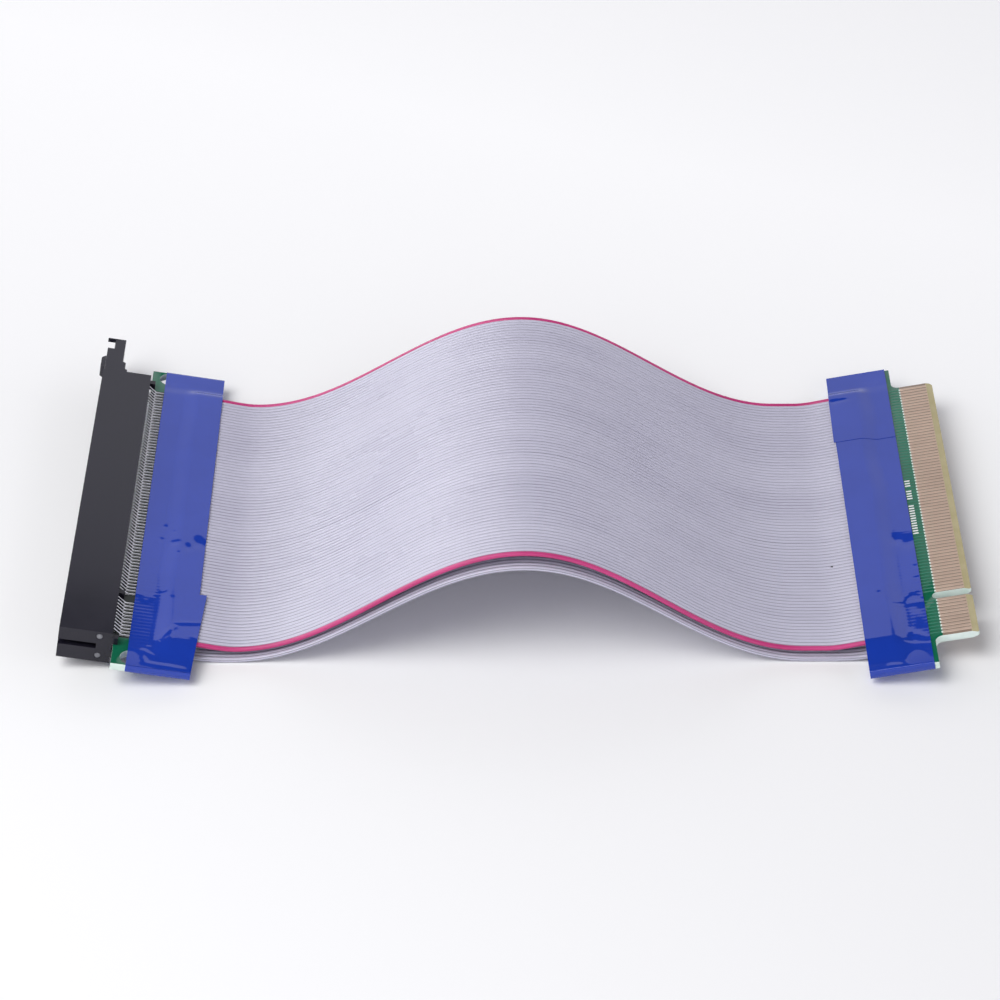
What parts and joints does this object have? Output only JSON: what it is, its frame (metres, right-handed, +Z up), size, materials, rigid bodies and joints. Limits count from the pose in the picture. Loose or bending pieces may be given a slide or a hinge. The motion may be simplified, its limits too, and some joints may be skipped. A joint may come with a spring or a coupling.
{
  "type": "gpu riser cable",
  "caption": "Flat ribbon riser cable between a card-edge slot on one small board and a card-edge tab on another, lying with its ribbon arched up.",
  "frame": {"origin": "middle of the cable's outline, at the height of the table it lies on", "axes": "+X along the cable from the slot end to the card-edge end, +Y along the boards from the short contact group to the hook, +Z up"},
  "size_m": [0.1774, 0.1064, 0.0256],
  "materials": {
    "housing_plastic": "semi-gloss moulded thermoplastic",
    "board_mask": "glossy green solder mask over glass laminate",
    "tape_film": "glossy blue film tape",
    "ribbon_vinyl": "satin grey flat-cable vinyl with a pink outer wire",
    "pin_tin": "bright tin plating",
    "finger_gold": "worn gold plating",
    "solder": "soldered joints"
  },
  "bodies": {
    "root": {"slot_housing": "housing_plastic", "slot_board": "board_mask", "slot_tape": "tape_film", "edge_board": "board_mask", "edge_tape": "tape_film", "upper_pins_short": "pin_tin", "upper_fingers_short": "finger_gold", "upper_pins_long": "pin_tin", "upper_fingers_long": "finger_gold", "upper_ribbon_narrow": "ribbon_vinyl", "upper_slot_solder_narrow": "solder", "upper_edge_solder_narrow": "solder", "upper_ribbon_wide": "ribbon_vinyl", "upper_slot_solder_wide": "solder", "upper_edge_solder_wide": "solder", "lower_pins_short": "pin_tin", "lower_fingers_short": "finger_gold", "lower_pins_long": "pin_tin", "lower_fingers_long": "finger_gold", "lower_ribbon_narrow": "ribbon_vinyl", "lower_slot_solder_narrow": "solder", "lower_edge_solder_narrow": "solder", "lower_ribbon_wide": "ribbon_vinyl", "lower_slot_solder_wide": "solder", "lower_edge_solder_wide": "solder"}
  },
  "joints": []
}
